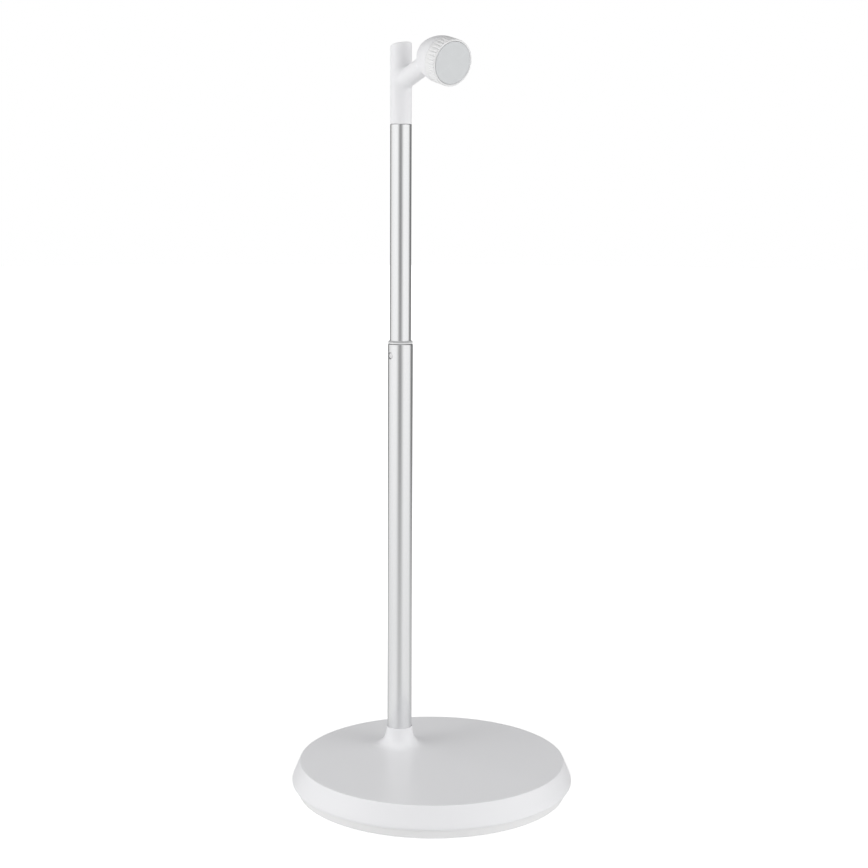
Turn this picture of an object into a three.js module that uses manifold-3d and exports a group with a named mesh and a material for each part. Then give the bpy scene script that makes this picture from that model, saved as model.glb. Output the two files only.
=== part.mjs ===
// Telescopic counter pole stand: weighted round base, two-stage tube with a snap button, branched
// cap and a round mounting head with a ribbed grip ring.
// Millimetres, +Z up. Origin: centre of the base on the floor. The head faces -Y and looks a
// little down; the pole stands behind the base's centre, towards +Y.
import * as THREE from "three";
import { mergeVertices } from "three/addons/utils/BufferGeometryUtils.js";
import Module from "manifold-3d";

const wasm = await Module();
wasm.setup();

const { degToRad } = THREE.MathUtils;

// ---------------------------------------------------------------- driving dimensions
// Facets round the parts
const BASE_SEG = 64;
const POLE_SEG = 32;
const HEAD_SEG = 48;

// Base cover
const TOP_Z = 24.9;
const TOP_R = 101.1;
const RIM_Z = 9.85;
const RIM_R = 107.25; // widest radius
const SEAM_Z = 7.85; // bottom edge of the cover
const SEAM_R = 105.0;
const COVER_SKIN = 2.6; // thickness at the top
const COVER_INNER_R = 102.7;
const COLLAR_Z = 39.7; // top of the collar round the pole

// Base plate and foot ring
const BAND_R = 102.4; // bottom radius of the plate's outer band
const PLATE_Z = 0.6; // underside
const FLOOR_TOP = 3.2; // inside floor
const TONGUE_TOP = 11.2; // upright tongue inside the cover
const FOOT_INNER_R = 88;
const FOOT_OUTER_R = 97;
const FOOT_H = 1.6;
const FOOT_SIDE_GAP = 0.3;

// Ballast weight
const WEIGHT_R = 92;
const WEIGHT_LOW = 8.0;
const WEIGHT_HIGH = 16.0;
const WEIGHT_CHAMFER = 1;
const RECESS_R = 12.0;
const RECESS_Z = 11.5;
const WEIGHT_GAP = 0.1; // gap to the parts above and below the weight
const ON_WEIGHT_Z = WEIGHT_HIGH + WEIGHT_GAP;

// Four base screws, evenly spaced on a circle
const SCREW_CIRCLE_R = 62;
const SCREW_SPOTS = [45, 135, 225, 315].map((degrees) => [
  SCREW_CIRCLE_R * Math.cos(degToRad(degrees)),
  SCREW_CIRCLE_R * Math.sin(degToRad(degrees)),
  0,
]);

// Pole
const POLE_Y = 42.6; // pole axis
const TUBE_WALL = 1;
const LOWER_R = 9.5;
const LOWER_INNER_R = LOWER_R - TUBE_WALL;
const LOWER_TOP = 341.3;
const UPPER_R = 8.0;
const UPPER_INNER_R = UPPER_R - TUBE_WALL;
const UPPER_LOW = 286.0;
const UPPER_TOP = 505.7;
const PLUG_FIT_R = UPPER_INNER_R - 0.08; // parts that plug into the upper tube

// Snap button on the -X side; its lengths are measured from the pole axis
const BUTTON_Z = 332.7;
const BUTTON_R = 2.2;
const BUTTON_HOLE_R = 2.6;
const BUTTON_TIP = 9.4;
const BUTTON_DOME_H = 0.45;
const BUTTON_DOME_STEPS = 4;

// Leaf spring
const SPRING_HALF_WIDTH = 2.4;
const SPRING_THICKNESS = 0.45;
const SPRING_BUTTON_X = -5.25; // outer face of the leg behind the button
const SPRING_FAR_X = 6.35; // outer face of the other leg
const SPRING_TOP = BUTTON_Z + 7;
const SPRING_BEND_Z = BUTTON_Z - 24;
const SPRING_BEND_STEPS = 8;

// Branched cap
const CAP_LOW = UPPER_TOP + 0.05;
const CAP_TOP = 564.2; // slanted top, on the pole axis
const CAP_SLANT = 12.5; // degrees, high side to the front
const SPIGOT_LENGTH = 24;
const ARM_R = 7.0;
const ARM_Z = 536.3; // where the arm's axis meets the pole axis
const ARM_RISE = 22.3; // degrees
const ARM_LENGTH = 43;

// Head
const FACE_Y = -20.7;
const FACE_Z = 548.5;
const HEAD_TILT = 13.3; // degrees, the face looks down
const HEAD_R = 17.05;
const RIBS = 36;
const GROOVE_R = 0.85; // six-sided grooves between the ribs
const GROOVE_START = 1.15; // behind the ring's smooth lip
const GROOVE_OFFSET = 0.1; // groove axes lie this far outside the ring
const RING_BACK = 10.5;

// ---------------------------------------------------------------- materials
const FINISH = {
  whitePlastic: { color: 0xf1f1ef, roughness: 0.5, metalness: 0 },
  platePlastic: { color: 0xe9e9e8, roughness: 0.6, metalness: 0 },
  ringPlastic: { color: 0xe4e5e6, roughness: 0.4, metalness: 0 },
  facePlastic: { color: 0xd4d5d8, roughness: 0.65, metalness: 0 },
  carrierPlastic: { color: 0x6c6d70, roughness: 0.6, metalness: 0 },
  bushPlastic: { color: 0x3c3d40, roughness: 0.6, metalness: 0 },
  rubber: { color: 0x2c2c2e, roughness: 0.9, metalness: 0 },
  iron: { color: 0x3a3b3d, roughness: 0.8, metalness: 0.6 },
  steel: { color: 0x9a9c9f, roughness: 0.4, metalness: 1 },
  dullSteel: { color: 0x9a9c9f, roughness: 0.5, metalness: 1 },
  satinTube: { color: 0xc9cacc, roughness: 0.35, metalness: 1 },
  springSteel: { color: 0x8e9094, roughness: 0.35, metalness: 1 },
  washerSteel: { color: 0x9b9da0, roughness: 0.35, metalness: 1 },
  polished: { color: 0xd8d9db, roughness: 0.15, metalness: 1 },
  magnet: { color: 0xb9babd, roughness: 0.2, metalness: 1 },
};

// ---------------------------------------------------------------- helpers
// A closed geometry as a solid. Normals and UVs go first, so that corners merge by place alone.
function toSolid(source) {
  const bare = source.index ? source.toNonIndexed() : source.clone();
  bare.deleteAttribute("normal");
  bare.deleteAttribute("uv");
  const merged = mergeVertices(bare, 1e-4);
  return new wasm.Manifold(
    new wasm.Mesh({
      numProp: 3,
      vertProperties: merged.attributes.position.array,
      triVerts: new Uint32Array(merged.index.array),
    }),
  );
}

// A solid back as a geometry with flat normals.
function toGeometry(solid) {
  const { vertProperties, triVerts } = solid.getMesh();
  const indexed = new THREE.BufferGeometry();
  indexed.setAttribute("position", new THREE.BufferAttribute(vertProperties, 3));
  indexed.setIndex(new THREE.BufferAttribute(triVerts, 1));
  const flat = indexed.toNonIndexed();
  flat.computeVertexNormals();
  return flat;
}

function addMesh(parent, name, solid, finish) {
  const mesh = new THREE.Mesh(toGeometry(solid), new THREE.MeshStandardMaterial(finish));
  mesh.name = name;
  parent.add(mesh);
}

// A turned solid about +Z from a profile of [radius, height], listed either way round.
// A profile that doesn't start and end on the axis is closed on itself.
function turned(profile, segments, startAngle = 0) {
  const points = profile.map(([radius, z]) => new THREE.Vector2(radius, z));
  const onAxis = profile[0][0] === 0 && profile.at(-1)[0] === 0;
  if (!onAxis) points.push(points[0].clone());
  const lathe = new THREE.LatheGeometry(points, segments, startAngle);
  lathe.rotateX(Math.PI / 2); // lathe axis +Y to +Z
  const solid = toSolid(lathe);
  if (solid.volume() >= 0) return solid;

  // Inside out: reverse every triangle.
  const index = lathe.index.array;
  for (let i = 0; i < index.length; i += 3) {
    [index[i + 1], index[i + 2]] = [index[i + 2], index[i + 1]];
  }
  return toSolid(lathe);
}

function rod(radius, low, high, segments) {
  return turned([[0, low], [radius, low], [radius, high], [0, high]], segments);
}

function pipe(inner, outer, low, high, segments) {
  return turned([[inner, low], [outer, low], [outer, high], [inner, high]], segments);
}

// Box from its lowest and highest corners.
function block(low, high) {
  const size = high.map((value, axis) => value - low[axis]);
  return wasm.Manifold.cube(size).translate(low);
}

// Cutter for a cross slot in a screw head.
function crossSlot(halfWidth, halfLength, low, high) {
  return block([-halfWidth, -halfLength, low], [halfWidth, halfLength, high]).add(
    block([-halfLength, -halfWidth, low], [halfLength, halfWidth, high]),
  );
}

// Straight rod between two points.
function strut(start, end, radius, segments) {
  const span = end.clone().sub(start);
  const cylinder = new THREE.CylinderGeometry(radius, radius, span.length(), segments);
  const turn = new THREE.Quaternion().setFromUnitVectors(
    new THREE.Vector3(0, 1, 0),
    span.clone().normalize(),
  );
  const middle = start.clone().add(end).multiplyScalar(0.5);
  cylinder.applyMatrix4(
    new THREE.Matrix4().compose(middle, turn, new THREE.Vector3(1, 1, 1)),
  );
  return toSolid(cylinder);
}

const onPoleAxis = (solid) => solid.translate([0, POLE_Y, 0]);

// Cutter along X at the button's height, from startX in to x = -3.
function buttonCutter(startX, radius, segments) {
  return strut(
    new THREE.Vector3(startX, POLE_Y, BUTTON_Z),
    new THREE.Vector3(-3, POLE_Y, BUTTON_Z),
    radius,
    segments,
  );
}

// Pole tube with the button's hole in its -X wall.
function buttonTube(inner, outer, low, high) {
  const tube = onPoleAxis(pipe(inner, outer, low, high, POLE_SEG));
  return tube.subtract(buttonCutter(-14, BUTTON_HOLE_R, 16));
}

// ---------------------------------------------------------------- groups
const part = new THREE.Group();
const pole = new THREE.Group(); // upper stage
const head = new THREE.Group(); // local +Z runs from the face backwards, local X is the part's X
part.add(pole);
pole.add(head);
head.position.set(0, FACE_Y, FACE_Z);
head.rotation.set(-Math.PI / 2 + degToRad(HEAD_TILT), 0, 0);
head.updateMatrix();

const fromHeadFrame = (solid) => solid.transform(head.matrix.elements);

// ---------------------------------------------------------------- base
function baseCover() {
  const skinZ = TOP_Z - COVER_SKIN; // underside of the top
  // [radius, z]: over the top edge, down the flank and under the rim, then back along the inside.
  const shell = [
    [0, TOP_Z],
    [TOP_R - 1, TOP_Z],
    [TOP_R - 0.25, TOP_Z - 0.2],
    [TOP_R + 0.28, TOP_Z - 0.75],
    [106.3, 13.2],
    [106.95, 11.7],
    [RIM_R, RIM_Z + 0.6],
    [RIM_R, RIM_Z - 0.4],
    [106.75, 8.8],
    [106.0, 8.15],
    [SEAM_R, SEAM_Z],
    [COVER_INNER_R, SEAM_Z],
    [COVER_INNER_R, 12.5],
    [98.3, skinZ],
    [0, skinZ],
  ];
  // [radius, z]: guide boss above the weight, then the trumpet collar round the pole.
  const collar = [
    [0, ON_WEIGHT_Z],
    [14, ON_WEIGHT_Z],
    [14, TOP_Z - 1.6],
    [22.8, TOP_Z - 1.2],
    [22.4, TOP_Z - 0.02],
    [18.0, TOP_Z + 0.45],
    [14.6, TOP_Z + 1.95],
    [12.4, TOP_Z + 4.5],
    [11.1, TOP_Z + 7.9],
    [10.3, TOP_Z + 11.6],
    [9.95, COLLAR_Z],
    [0, COLLAR_Z],
  ];
  let cover = turned(shell, BASE_SEG)
    .add(onPoleAxis(turned(collar, POLE_SEG)))
    .subtract(onPoleAxis(rod(LOWER_R + 0.05, 10, 60, POLE_SEG)));

  // Screw bosses under the top, each with a blind pilot hole.
  const boss = rod(4.6, ON_WEIGHT_Z, skinZ + 0.4, 14);
  const pilot = rod(1.7, WEIGHT_HIGH - 1, TOP_Z - 3.3, 10);
  for (const spot of SCREW_SPOTS) {
    cover = cover.add(boss.translate(spot)).subtract(pilot.translate(spot));
  }
  return cover;
}

// Ballast disc: bolt hole with a recess under it, and clearance holes for the four screws.
function baseWeight() {
  const throughZ = 30; // the through cutters run from the floor to here
  const disc = [
    [0, WEIGHT_LOW],
    [WEIGHT_R - WEIGHT_CHAMFER, WEIGHT_LOW],
    [WEIGHT_R, WEIGHT_LOW + WEIGHT_CHAMFER],
    [WEIGHT_R, WEIGHT_HIGH - WEIGHT_CHAMFER],
    [WEIGHT_R - WEIGHT_CHAMFER, WEIGHT_HIGH],
    [0, WEIGHT_HIGH],
  ];
  let weight = turned(disc, 60)
    .subtract(onPoleAxis(rod(4.3, 0, throughZ, 24)))
    .subtract(onPoleAxis(rod(RECESS_R, 0, RECESS_Z, 32)));
  const screwHole = rod(2.2, 0, throughZ, 12);
  for (const spot of SCREW_SPOTS) weight = weight.subtract(screwHole.translate(spot));
  return weight;
}

// Pan-head screw, pointing up, with a cross slot in the underside of its head.
function baseScrew() {
  const profile = [
    [0, 1.7], [2.6, 1.7], [3.4, 2.6], [3.4, 4.1], // head
    [1.6, 4.1], [1.6, 19.2], // shank
    [0, 20.6], // point
  ];
  return turned(profile, 10).subtract(crossSlot(0.45, 2.1, 1, 2.7));
}

function basePlate() {
  // [radius, z]: underside with the foot ring's groove, outer band, tongue, inside floor.
  const profile = [
    [0, PLATE_Z],
    [FOOT_INNER_R - FOOT_SIDE_GAP, PLATE_Z],
    [FOOT_INNER_R - FOOT_SIDE_GAP, FOOT_H + 0.1],
    [FOOT_OUTER_R + FOOT_SIDE_GAP, FOOT_H + 0.1],
    [FOOT_OUTER_R + FOOT_SIDE_GAP, PLATE_Z],
    [BAND_R - 0.9, PLATE_Z],
    [BAND_R - 0.2, PLATE_Z + 0.5],
    [BAND_R + 0.35, PLATE_Z + 1.6],
    [SEAM_R - 0.25, SEAM_Z - 0.75],
    [SEAM_R - 0.1, SEAM_Z - 0.15],
    [102.3, SEAM_Z - 0.15],
    [102.3, TONGUE_TOP],
    [100.6, TONGUE_TOP],
    [100.6, FLOOR_TOP + 1.2],
    [99.6, FLOOR_TOP],
    [0, FLOOR_TOP],
  ];
  const post = rod(5.6, FLOOR_TOP - 0.4, WEIGHT_LOW - WEIGHT_GAP, 14);
  const shankHole = rod(1.95, -1, 12, 10);
  const headHole = rod(3.8, -1, 4.2, 14);
  let plate = turned(profile, BASE_SEG);
  for (const spot of SCREW_SPOTS) {
    plate = plate
      .add(post.translate(spot))
      .subtract(shankHole.translate(spot))
      .subtract(headHole.translate(spot));
  }
  return plate;
}

// ---------------------------------------------------------------- lower stage and its fixing
// Plug in the foot of the lower tube, bored for the bolt.
function polePlug() {
  const profile = [[4.1, 16.4], [8.4, 16.4], [8.4, 38], [7.6, 39], [4.1, 39]];
  return onPoleAxis(turned(profile, POLE_SEG));
}

// Bolt up through the weight into the plug, with a hexagon socket in its underside.
function poleBolt() {
  const profile = [
    [0, 3.9], [5.6, 3.9], [6.4, 4.7], [6.4, 8.2], // head
    [4.0, 8.2], [4.0, 33.2], [3.2, 34], [0, 34], // shank
  ];
  const socket = rod(3.3, 1, 7, 6);
  return onPoleAxis(turned(profile, 24).subtract(socket));
}

// Split spring washer with one slanted cut on its +Y side.
function lockWasher() {
  const cut = block([-0.5, 3.5, 7], [0.5, 8, 11]).rotate([0, 20, 0]);
  return onPoleAxis(pipe(4.25, 7.2, 8.3, 10.1, 32).subtract(cut));
}

// Sleeve inside the lower tube, narrow neck on its end, lip, and a shoulder sloping up and in.
function tubeEndRing() {
  const innerR = 8.12;
  const profile = [
    [innerR, 337.2],
    [8.44, 337.2],
    [8.44, LOWER_TOP + 0.05],
    [8.9, LOWER_TOP + 0.05],
    [8.9, LOWER_TOP + 0.55],
    [LOWER_R, LOWER_TOP + 0.55],
    [LOWER_R, LOWER_TOP + 1.5],
    [LOWER_R - 0.25, LOWER_TOP + 1.7],
    [8.35, LOWER_TOP + 2.8],
    [innerR, LOWER_TOP + 2.85],
  ];
  return onPoleAxis(turned(profile, POLE_SEG));
}

// ---------------------------------------------------------------- upper stage
// Slide bush: flange that runs in the lower tube, and a spigot up into the upper tube.
function guideBush() {
  const boreR = 5.6;
  const profile = [
    [boreR, UPPER_LOW - 5],
    [8.1, UPPER_LOW - 5],
    [8.38, UPPER_LOW - 4.5],
    [8.38, UPPER_LOW - 0.1],
    [PLUG_FIT_R, UPPER_LOW - 0.1],
    [PLUG_FIT_R, UPPER_LOW + 9],
    [boreR, UPPER_LOW + 9],
  ];
  return onPoleAxis(turned(profile, POLE_SEG));
}

// Domed pin with an inner flange and a thin stem, turned about Z and laid along -X.
function snapButton() {
  const sphereR = (BUTTON_R ** 2 + BUTTON_DOME_H ** 2) / (2 * BUTTON_DOME_H);
  const profile = [];
  for (let i = 0; i <= BUTTON_DOME_STEPS; i++) {
    const radius = (BUTTON_R * i) / BUTTON_DOME_STEPS;
    profile.push([radius, BUTTON_TIP - sphereR + Math.sqrt(sphereR ** 2 - radius ** 2)]);
  }
  profile.push(
    [BUTTON_R, 6.05], [3.0, 6.05], [3.0, 5.35], // flange
    [1.1, 5.35], [1.1, 4.3], [0, 4.3], // stem
  );
  return turned(profile, 16).rotate([0, -90, 0]).translate([0, POLE_Y, BUTTON_Z]);
}

// Leaf spring: a strip bent to a narrow U, one leg behind the button, with a hole for its stem,
// the other by the far wall.
function snapSpring() {
  const bendR = (SPRING_FAR_X - SPRING_BUTTON_X) / 2;
  const middleX = (SPRING_FAR_X + SPRING_BUTTON_X) / 2;

  // One face of the strip, inset from the outer face: down the button's leg and up the other.
  function face(inset) {
    const points = [new THREE.Vector2(SPRING_BUTTON_X + inset, SPRING_TOP)];
    for (let i = 0; i <= SPRING_BEND_STEPS; i++) {
      const angle = Math.PI + (Math.PI * i) / SPRING_BEND_STEPS;
      points.push(
        new THREE.Vector2(
          middleX + (bendR - inset) * Math.cos(angle),
          SPRING_BEND_Z + (bendR - inset) * Math.sin(angle),
        ),
      );
    }
    points.push(new THREE.Vector2(SPRING_FAR_X - inset, SPRING_TOP));
    return points;
  }

  const outline = new THREE.Shape([...face(0), ...face(SPRING_THICKNESS).reverse()]);
  const strip = new THREE.ExtrudeGeometry(outline, {
    depth: 2 * SPRING_HALF_WIDTH,
    bevelEnabled: false,
  });
  strip.translate(0, 0, -SPRING_HALF_WIDTH);
  strip.rotateX(Math.PI / 2); // outline's Y to +Z
  return onPoleAxis(toSolid(strip)).subtract(buttonCutter(-8, 1.3, 12));
}

// ---------------------------------------------------------------- branched cap
// Upright stub with a slanted top, high at the front.
function capStub() {
  const above = block([-30, -30, 0], [30, 30, 40])
    .rotate([-CAP_SLANT, 0, 0])
    .translate([0, POLE_Y, CAP_TOP]);
  return onPoleAxis(rod(UPPER_R, CAP_LOW, CAP_TOP + 12, POLE_SEG)).subtract(above);
}

// Arm rising forwards from the pole axis into the bowl.
function capArm() {
  const rise = degToRad(ARM_RISE);
  const direction = new THREE.Vector3(0, -Math.cos(rise), Math.sin(rise));
  const start = new THREE.Vector3(0, POLE_Y, ARM_Z);
  const end = start.clone().addScaledVector(direction, ARM_LENGTH);
  return strut(start, end, ARM_R, 24);
}

// Bowl with its neck and a screw post in the middle, in the head frame.
function capBowl() {
  // [radius, depth behind the face]
  const profile = [
    // neck with a bead round it
    [14.35, 3.2], [14.35, 5.6], [14.85, 6.0], [14.85, 6.9], [14.35, 7.4], [14.35, 10.8],
    // outside of the bowl
    [16.95, 10.8], [HEAD_R, 11.8], [16.75, 16.2], [15.65, 20.9], [14.35, 24.5],
    [12.45, 28.1], [10.4, 31.0], [7.4, 33.4], [3.6, 34.8], [0, 35.2],
    // inside
    [0, 26.5], [7.5, 26.5], [9.0, 25.5], [12.35, 17.0], [12.35, 3.2],
  ];
  return turned(profile, HEAD_SEG).add(rod(3.6, 13.4, 27.5, 16));
}

// Spigot that plugs into the upper tube.
function capSpigot() {
  const low = CAP_LOW - SPIGOT_LENGTH;
  const profile = [
    [0, low],
    [6.0, low],
    [PLUG_FIT_R, low + 1.5],
    [PLUG_FIT_R, CAP_LOW + 1],
    [0, CAP_LOW + 1],
  ];
  return onPoleAxis(turned(profile, POLE_SEG));
}

function branchCap() {
  // Taken out of the arm, so that it doesn't fill the bowl: [radius, depth behind the face].
  const cavity = [[0, 3.0], [13.4, 3.0], [13.4, 17.0], [9.6, 26.0], [8, 28.0], [0, 28.0]];
  const screwHole = rod(1.65, 12, 25, 12); // blind
  return capStub()
    .add(capArm().subtract(fromHeadFrame(turned(cavity, 36))))
    .add(fromHeadFrame(capBowl()))
    .add(capSpigot())
    .subtract(fromHeadFrame(screwHole));
}

// ---------------------------------------------------------------- head pieces
// In the head frame; profiles are [radius, depth behind the face].

function gripRing() {
  const profile = [
    // smooth lip
    [15.5, 0.35], [15.7, 0.1], [16.45, 0.1], [16.85, 0.55],
    // ribbed band
    [HEAD_R, 1.0], [HEAD_R, RING_BACK],
    // bore, with the groove that rides over the neck's bead
    [14.6, RING_BACK], [14.6, 7.75], [15.15, 7.2], [15.15, 5.7], [14.6, 5.1],
    // step for the face disc
    [14.6, 4.7], [15.5, 4.7],
  ];
  // The start angle puts the ring's facet corners at the grooves.
  let ring = turned(profile, RIBS, Math.PI / RIBS);
  const groove = rod(GROOVE_R, GROOVE_START, GROOVE_START + RING_BACK, 6);
  const circleR = HEAD_R + GROOVE_OFFSET;
  for (let i = 0; i < RIBS; i++) {
    const angle = (2 * Math.PI * (i + 0.5)) / RIBS;
    ring = ring.subtract(
      groove.translate([circleR * Math.cos(angle), circleR * Math.sin(angle), 0]),
    );
  }
  return ring;
}

function faceDisc() {
  return turned([[0, 0], [15.05, 0], [15.2, 0.15], [15.2, 1.9], [0, 1.9]], HEAD_SEG);
}

// Flange behind the face, hub in the neck, pocket for the magnet cup, hole and seat for the screw.
function puckCarrier() {
  const profile = [
    [1.9, 10.4], [3.9, 10.4], [3.9, 8.1], // screw seat
    [10.5, 8.1], [10.5, 2.0], // magnet pocket
    [15.1, 2.0], [15.1, 2.9], // flange
    [12.05, 2.9], [12.05, 12.4], [1.9, 12.4], // hub
  ];
  return turned(profile, HEAD_SEG);
}

// Cup open towards the face.
function magnetCup() {
  return turned([[0, 7.0], [9.2, 7.0], [9.2, 2.2], [10.2, 2.2], [10.2, 8.0], [0, 8.0]], 36);
}

// Screw through the carrier into the bowl's post, with a cross slot towards the face.
function swivelScrew() {
  const profile = [
    [0, 8.3], [2.7, 8.3], [3.3, 9.0], [3.3, 10.3], // head
    [1.5, 10.3], [1.5, 23.2], [0.8, 24.2], [0, 24.2], // shank and end
  ];
  return turned(profile, 18).subtract(crossSlot(0.4, 2, 8, 9.4));
}

// ---------------------------------------------------------------- assembly
addMesh(part, "base_cover", baseCover(), FINISH.whitePlastic);
addMesh(part, "base_weight", baseWeight(), FINISH.iron);
SCREW_SPOTS.forEach((spot, i) => {
  addMesh(part, `base_screw_${i + 1}`, baseScrew().translate(spot), FINISH.steel);
});
addMesh(part, "base_plate", basePlate(), FINISH.platePlastic);
addMesh(part, "foot_ring", pipe(FOOT_INNER_R, FOOT_OUTER_R, 0, FOOT_H, 48), FINISH.rubber);

const lowerTube = buttonTube(LOWER_INNER_R, LOWER_R, ON_WEIGHT_Z, LOWER_TOP);
addMesh(part, "lower_tube", lowerTube, FINISH.satinTube);
addMesh(part, "pole_plug", polePlug(), FINISH.dullSteel);
addMesh(part, "pole_bolt", poleBolt(), FINISH.steel);
addMesh(part, "lock_washer", lockWasher(), FINISH.steel);
addMesh(part, "pole_washer", onPoleAxis(pipe(4.3, 10.5, 10.2, 11.4, 32)), FINISH.steel);
addMesh(part, "tube_end_ring", tubeEndRing(), FINISH.ringPlastic);

const upperTube = buttonTube(UPPER_INNER_R, UPPER_R, UPPER_LOW, UPPER_TOP);
addMesh(pole, "upper_tube", upperTube, FINISH.satinTube);
addMesh(pole, "guide_bush", guideBush(), FINISH.bushPlastic);
addMesh(pole, "snap_button", snapButton(), FINISH.polished);
addMesh(pole, "snap_spring", snapSpring(), FINISH.springSteel);
addMesh(pole, "branch_cap", branchCap(), FINISH.whitePlastic);

addMesh(head, "grip_ring", gripRing(), FINISH.whitePlastic);
addMesh(head, "face_disc", faceDisc(), FINISH.facePlastic);
addMesh(head, "puck_carrier", puckCarrier(), FINISH.carrierPlastic);
addMesh(head, "magnet_cup", magnetCup(), FINISH.steel);
addMesh(head, "magnet", rod(9.0, 2.4, 6.9, 36), FINISH.magnet);
addMesh(head, "swivel_screw", swivelScrew(), FINISH.steel);
addMesh(head, "wave_washer", pipe(1.9, 4.8, 12.6, 13.2, 24), FINISH.washerSteel);

export default part;
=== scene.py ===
"""A tilting puck head on a two-part telescopic pole that stands on a round base.

The base is centred on the origin and the floor is just under z = 0. The pole stands at +Y, and
the head leans over the base from it, its face turned to -Y and slightly down. The snap button
looks to -X. Sizes are in mm and meshes are scaled to metres as they are made. Profiles of
turned pieces are lists of (radius, height), or (radius, depth behind the face) in the head.
"""
import bpy
import bmesh
import math
import numpy as np
import openvdb as vdb
from mathutils import Matrix, Vector


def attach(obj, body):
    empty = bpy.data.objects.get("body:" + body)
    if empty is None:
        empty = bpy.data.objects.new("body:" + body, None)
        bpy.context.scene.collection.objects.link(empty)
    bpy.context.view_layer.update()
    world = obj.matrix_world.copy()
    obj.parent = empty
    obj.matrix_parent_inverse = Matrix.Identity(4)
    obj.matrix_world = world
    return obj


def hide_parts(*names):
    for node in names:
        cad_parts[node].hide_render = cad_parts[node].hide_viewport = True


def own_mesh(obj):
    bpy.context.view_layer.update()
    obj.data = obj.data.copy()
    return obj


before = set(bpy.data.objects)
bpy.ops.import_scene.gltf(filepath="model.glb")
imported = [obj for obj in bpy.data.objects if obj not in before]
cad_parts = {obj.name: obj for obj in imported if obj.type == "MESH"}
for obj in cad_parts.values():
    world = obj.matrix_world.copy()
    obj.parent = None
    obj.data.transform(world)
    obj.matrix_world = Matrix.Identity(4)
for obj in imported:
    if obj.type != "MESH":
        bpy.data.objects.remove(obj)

MM = 0.001
rad = math.radians

# ------------------------------------------------------------------ driving sizes (mm)
POLE_Y = 42.6
POLE = (0.0, POLE_Y)
SEAT_Z = 16.1  # foot of the lower tube
LOWER_IN, LOWER_OUT, LOWER_TOP = 8.5, 9.5, 341.3
UPPER_IN, UPPER_OUT, UPPER_TOP = 7.0, 8.0, 505.7
INSERT_R = UPPER_IN - 0.08  # pieces pushed into the upper tube
BUTTON_Z = 332.7
BUTTON_HOLE_R = 2.6

FOOT_IN, FOOT_OUT, FOOT_GAP = 88.0, 97.0, 0.3  # rubber ring, and the play of its groove
BASE_SCREWS = [
    (62 * math.cos(rad(45 + 90 * i)), 62 * math.sin(rad(45 + 90 * i))) for i in range(4)
]

# the head's own frame
FACE = np.array([0.0, -20.7, 548.5])
TILT = rad(13.3)
SIDE = np.array([1.0, 0.0, 0.0])
ACROSS = np.array([0.0, -math.sin(TILT), math.cos(TILT)])  # across the face, upwards
BACK = np.array([0.0, math.cos(TILT), math.sin(TILT)])  # from the face into the bowl

# the camera's side, seen from above
CAM_AZ = rad(-36.8)
CAM_RIGHT = Vector((math.cos(CAM_AZ), math.sin(CAM_AZ), 0))
CAM_BACK = Vector((math.sin(CAM_AZ), -math.cos(CAM_AZ), 0))  # towards the camera


# ------------------------------------------------------------------ curves
def rounded(corners, steps):
    """A polyline of (a, b, corner radius) with its corners rounded. Radius 0 keeps one sharp."""
    out = []
    count = len(corners)
    for i, (*point, radius) in enumerate(corners):
        point = np.array(point, float)
        if radius <= 0:
            out.append(tuple(point))
            continue
        before = np.array(corners[(i - 1) % count][:2], float) - point
        after = np.array(corners[(i + 1) % count][:2], float) - point
        len_before, len_after = np.linalg.norm(before), np.linalg.norm(after)
        before, after = before / len_before, after / len_after
        angle = math.acos(float(np.clip(before @ after, -1, 1)))
        if angle > math.pi - 0.05:  # almost straight
            out.append(tuple(point))
            continue
        reach = min(radius / math.tan(angle / 2), 0.45 * len_before, 0.45 * len_after)
        arc_r = reach * math.tan(angle / 2)
        middle = before + after
        centre = point + middle / np.linalg.norm(middle) * (arc_r / math.sin(angle / 2))
        start, end = point + before * reach - centre, point + after * reach - centre
        start_angle = math.atan2(start[1], start[0])
        turn = math.atan2(end[1], end[0]) - start_angle
        turn = (turn + math.pi) % (2 * math.pi) - math.pi
        for k in range(steps + 1):
            a = start_angle + turn * k / steps
            out.append((centre[0] + arc_r * math.cos(a), centre[1] + arc_r * math.sin(a)))
    return out


def smooth_curve(points, per):
    """Catmull-Rom curve through the points, ends included, with per steps between two points."""
    p = [np.array(q, float) for q in points]
    p = [2 * p[0] - p[1]] + p + [2 * p[-1] - p[-2]]
    out = []
    for a, b, c, d in zip(p, p[1:], p[2:], p[3:]):
        for k in range(per):
            t = k / per
            linear = 2 * b + (c - a) * t
            square = (2 * a - 5 * b + 4 * c - d) * t * t
            cube = (3 * b - a - 3 * c + d) * t**3
            out.append(tuple(0.5 * (linear + square + cube)))
    out.append(tuple(p[-2]))
    return out


def thread(start, end, pitch, root, crest, rises):
    """Profile of grooves from start to end: two root and two crest points per turn."""
    points = []
    z = start
    while z < end:
        points += [(r, z + rise) for r, rise in zip((root, root, crest, crest), rises)]
        z += pitch
    return points


# ------------------------------------------------------------------ meshes
def shade(ob, sharp):
    mesh = ob.data
    mesh.polygons.foreach_set("use_smooth", [True] * len(mesh.polygons))
    mesh.set_sharp_from_angle(angle=rad(sharp))
    mesh.update()
    weighted = ob.modifiers.new("weighted", "WEIGHTED_NORMAL")
    weighted.mode = "FACE_AREA"
    weighted.weight = 90
    weighted.keep_sharp = True


def link_object(name, mesh):
    ob = bpy.data.objects.new(name, mesh)
    bpy.context.scene.collection.objects.link(ob)
    return ob


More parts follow.
